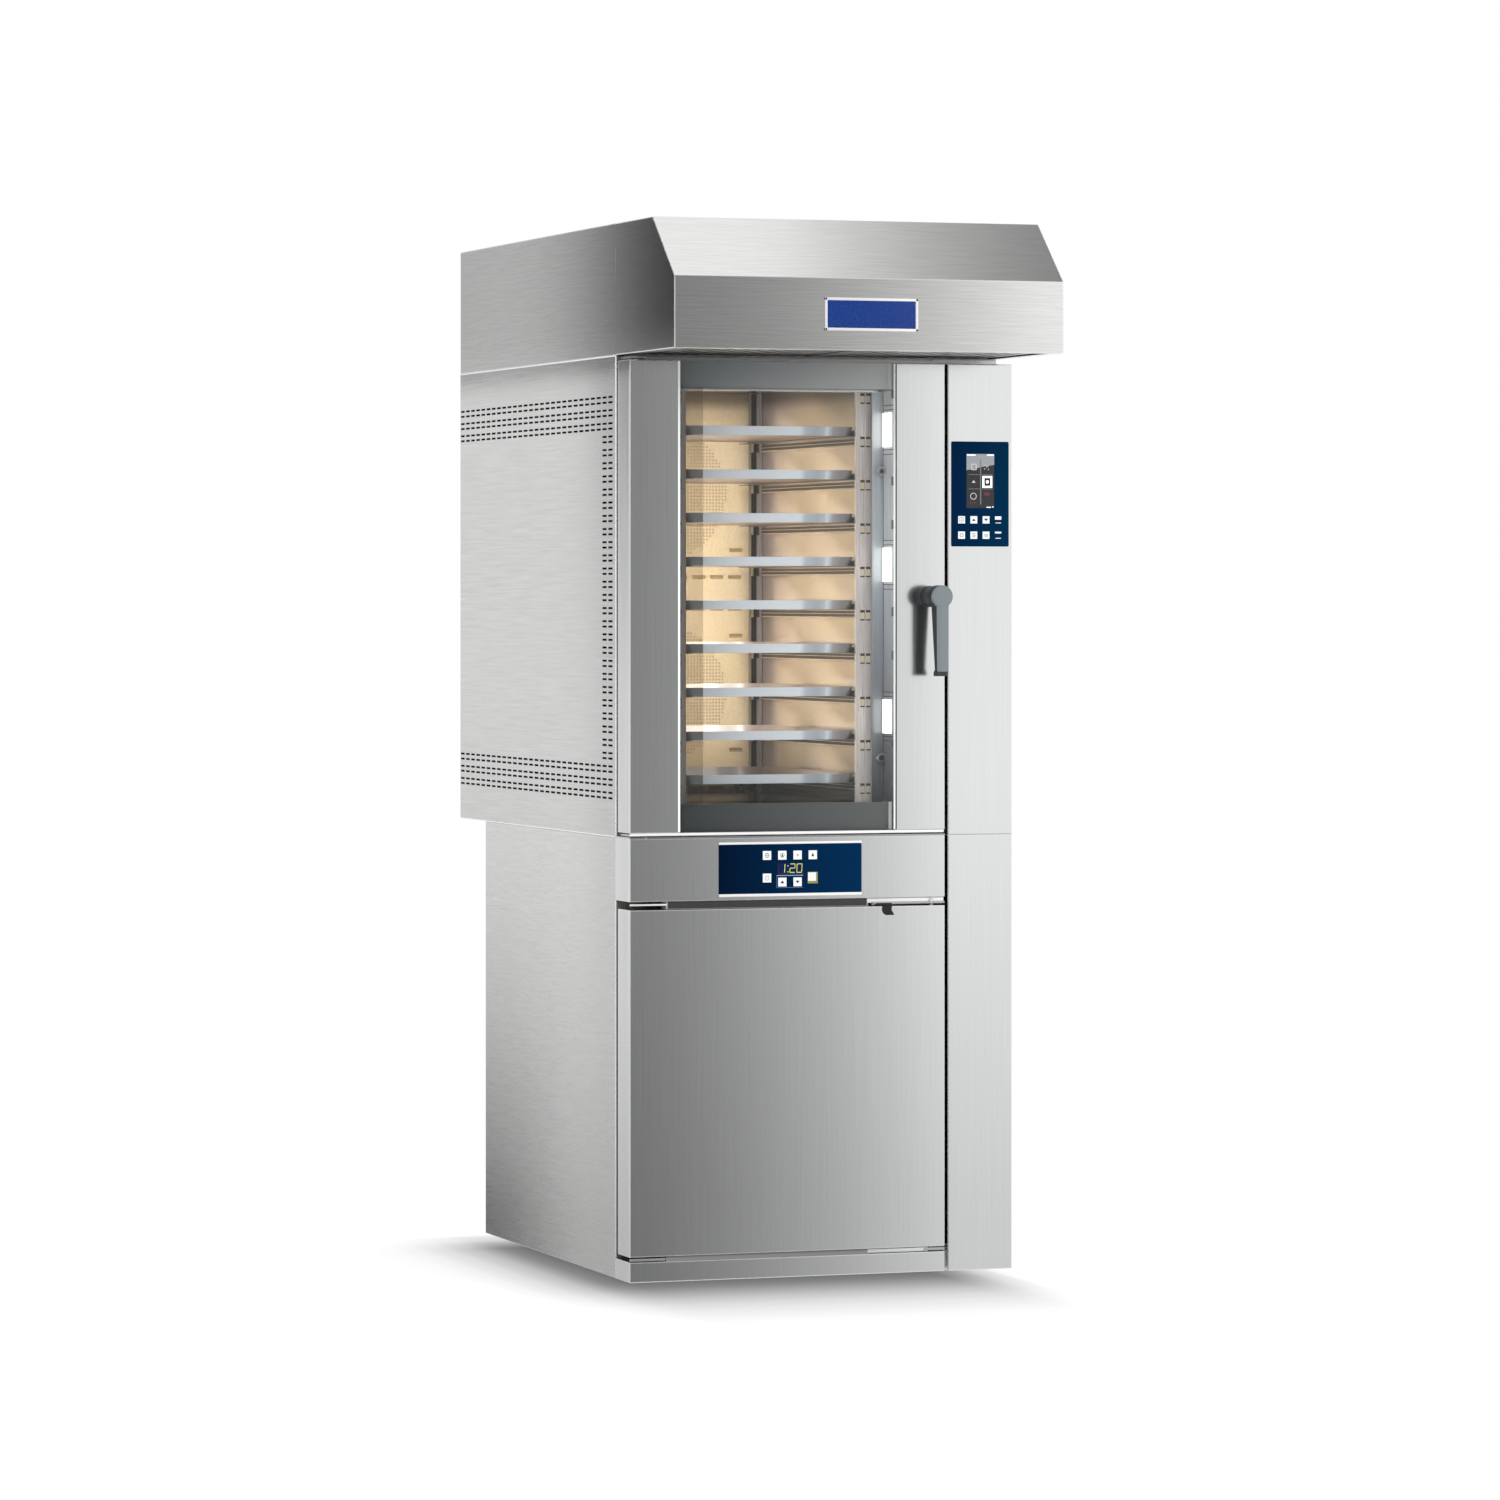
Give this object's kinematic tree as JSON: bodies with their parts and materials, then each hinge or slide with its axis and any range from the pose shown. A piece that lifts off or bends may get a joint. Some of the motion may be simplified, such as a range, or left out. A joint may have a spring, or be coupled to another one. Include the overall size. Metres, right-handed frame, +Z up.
{
  "type": "convection oven",
  "caption": "Free-standing bakery convection oven with an extractor hood on top and a proofer cabinet below: a hinged glass door with a lever handle, and a control column on the right.",
  "frame": {"origin": "middle of the footprint's bounding box, on the floor", "axes": "+Z up, front of the doors towards -Y, +X to the right as seen from the front"},
  "size_m": [0.89, 1.609, 2.304],
  "materials": {
    "casing_steel": "satin",
    "hood_steel": "satin",
    "front_steel": "satin",
    "door_steel": "satin",
    "frame_steel": "satin",
    "chamber_steel": "satin",
    "rack_steel": "satin",
    "tray_aluminium": "satin",
    "fan_steel": "satin",
    "filter_steel": "satin",
    "mineral_wool": "matte",
    "motor_paint": "satin",
    "heater_alloy": "matte",
    "outer_glass": "gloss",
    "inner_glass": "gloss",
    "lamp_glass": "satin",
    "seal_rubber": "matte",
    "handle_plastic": "satin",
    "panel_blue": "satin",
    "panel_navy": "satin",
    "key_white": "satin",
    "screen_glass": "gloss",
    "board_green": "satin",
    "badge_enamel": "gloss",
    "fitting_steel": "satin"
  },
  "bodies": {
    "cabinet": {"hood_canopy": "hood_steel", "hood_housing": "hood_steel", "hood_filters": "filter_steel", "flue_collar": "fitting_steel", "hood_fan_housing": "motor_paint", "badge_plate": "badge_enamel", "oven_side_left": "casing_steel", "oven_side_right": "casing_steel", "oven_rear_cover": "casing_steel", "oven_base_frame": "frame_steel", "oven_front_frame": "frame_steel", "chamber_liner": "chamber_steel", "insulation": "mineral_wool", "fan_baffle": "chamber_steel", "tray_rack": "rack_steel", "baking_trays": "tray_aluminium", "heating_elements": "heater_alloy", "fan_motors": "motor_paint", "steam_injector": "fitting_steel", "service_connections": "fitting_steel", "vent_duct": "fitting_steel", "column_upper": "front_steel", "column_lower": "front_steel", "control_panel_upper": "panel_blue", "control_panel_lower": "panel_navy", "display_screens": "screen_glass", "control_boards": "board_green", "latch_keeper": "frame_steel", "door_gaskets": "seal_rubber", "hinge_brackets": "frame_steel", "proofer_casing": "casing_steel", "plinth_base": "front_steel", "proofer_fascia": "front_steel", "proofer_liner": "rack_steel", "humidifier": "fan_steel"},
    "oven_door": {"oven_door_shell": "door_steel", "oven_door_glass": "outer_glass", "oven_door_inner_glass": "inner_glass", "oven_door_lamps": "lamp_glass"},
    "door_handle_lever": {"door_handle": "handle_plastic", "handle_spindle": "frame_steel"},
    "proofer_door": {"proofer_door_shell": "door_steel"},
    "upper_fan": {"fan_wheel_upper": "fan_steel"},
    "lower_fan": {"fan_wheel_lower": "fan_steel"},
    "hood_fan": {"hood_fan_wheel": "fan_steel"},
    "damper_flap": {"vent_damper": "fan_steel"},
    "upper_key_menu": {"upper_key_menu": "key_white"},
    "upper_key_up": {"upper_key_up": "key_white"},
    "upper_key_down": {"upper_key_down": "key_white"},
    "upper_key_start": {"upper_key_start": "key_white"},
    "upper_key_fan": {"upper_key_fan": "key_white"},
    "upper_key_steam": {"upper_key_steam": "key_white"},
    "lower_key_heat": {"lower_key_heat": "key_white"},
    "lower_key_humidity": {"lower_key_humidity": "key_white"},
    "lower_key_fan": {"lower_key_fan": "key_white"},
    "lower_key_lamp": {"lower_key_lamp": "key_white"},
    "lower_key_timer": {"lower_key_timer": "key_white"},
    "lower_key_up": {"lower_key_up": "key_white"},
    "lower_key_down": {"lower_key_down": "key_white"},
    "lower_key_start": {"lower_key_start": "key_white"}
  },
  "joints": [
    {"name": "oven_door_hinge", "type": "hinge", "parent": "cabinet", "child": "oven_door", "pos_m": [-0.425, -0.4755, 1.489], "axis": [0, 0, -1], "range_deg": [0, 120]},
    {"name": "door_handle_turn", "type": "hinge", "parent": "oven_door", "child": "door_handle_lever", "pos_m": [0.251, -0.4955, 1.489], "axis": [0, 1, 0], "range_deg": [0, 90]},
    {"name": "proofer_door_hinge", "type": "hinge", "parent": "cabinet", "child": "proofer_door", "pos_m": [0.258, -0.4815, 0.4315], "axis": [0, 0, 1], "range_deg": [0, 120]},
    {"name": "upper_fan_spin", "type": "hinge", "parent": "cabinet", "child": "upper_fan", "pos_m": [-0.085, 0.4675, 1.7295], "axis": [0, 1, 0], "continuous": true},
    {"name": "lower_fan_spin", "type": "hinge", "parent": "cabinet", "child": "lower_fan", "pos_m": [-0.085, 0.4675, 1.2645], "axis": [0, 1, 0], "continuous": true},
    {"name": "hood_fan_spin", "type": "hinge", "parent": "cabinet", "child": "hood_fan", "pos_m": [0, 0.2065, 2.197], "axis": [0, 0, 1], "continuous": true},
    {"name": "vent_damper_turn", "type": "hinge", "parent": "cabinet", "child": "damper_flap", "pos_m": [-0.085, 0.2895, 2.041], "axis": [1, 0, 0], "range_deg": [0, 90]},
    {"name": "upper_key_menu_press", "type": "slide", "parent": "cabinet", "child": "upper_key_menu", "axis": [0, 1, 0], "range_m": [0, 0.0005], "stiffness_N_per_m": 400},
    {"name": "upper_key_up_press", "type": "slide", "parent": "cabinet", "child": "upper_key_up", "axis": [0, 1, 0], "range_m": [0, 0.0005], "stiffness_N_per_m": 400},
    {"name": "upper_key_down_press", "type": "slide", "parent": "cabinet", "child": "upper_key_down", "axis": [0, 1, 0], "range_m": [0, 0.0005], "stiffness_N_per_m": 400},
    {"name": "upper_key_start_press", "type": "slide", "parent": "cabinet", "child": "upper_key_start", "axis": [0, 1, 0], "range_m": [0, 0.0005], "stiffness_N_per_m": 400},
    {"name": "upper_key_fan_press", "type": "slide", "parent": "cabinet", "child": "upper_key_fan", "axis": [0, 1, 0], "range_m": [0, 0.0005], "stiffness_N_per_m": 400},
    {"name": "upper_key_steam_press", "type": "slide", "parent": "cabinet", "child": "upper_key_steam", "axis": [0, 1, 0], "range_m": [0, 0.0005], "stiffness_N_per_m": 400},
    {"name": "lower_key_heat_press", "type": "slide", "parent": "cabinet", "child": "lower_key_heat", "axis": [0, 1, 0], "range_m": [0, 0.0005], "stiffness_N_per_m": 400},
    {"name": "lower_key_humidity_press", "type": "slide", "parent": "cabinet", "child": "lower_key_humidity", "axis": [0, 1, 0], "range_m": [0, 0.0005], "stiffness_N_per_m": 400},
    {"name": "lower_key_fan_press", "type": "slide", "parent": "cabinet", "child": "lower_key_fan", "axis": [0, 1, 0], "range_m": [0, 0.0005], "stiffness_N_per_m": 400},
    {"name": "lower_key_lamp_press", "type": "slide", "parent": "cabinet", "child": "lower_key_lamp", "axis": [0, 1, 0], "range_m": [0, 0.0005], "stiffness_N_per_m": 400},
    {"name": "lower_key_timer_press", "type": "slide", "parent": "cabinet", "child": "lower_key_timer", "axis": [0, 1, 0], "range_m": [0, 0.0005], "stiffness_N_per_m": 400},
    {"name": "lower_key_up_press", "type": "slide", "parent": "cabinet", "child": "lower_key_up", "axis": [0, 1, 0], "range_m": [0, 0.0005], "stiffness_N_per_m": 400},
    {"name": "lower_key_down_press", "type": "slide", "parent": "cabinet", "child": "lower_key_down", "axis": [0, 1, 0], "range_m": [0, 0.0005], "stiffness_N_per_m": 400},
    {"name": "lower_key_start_press", "type": "slide", "parent": "cabinet", "child": "lower_key_start", "axis": [0, 1, 0], "range_m": [0, 0.0005], "stiffness_N_per_m": 400}
  ]
}
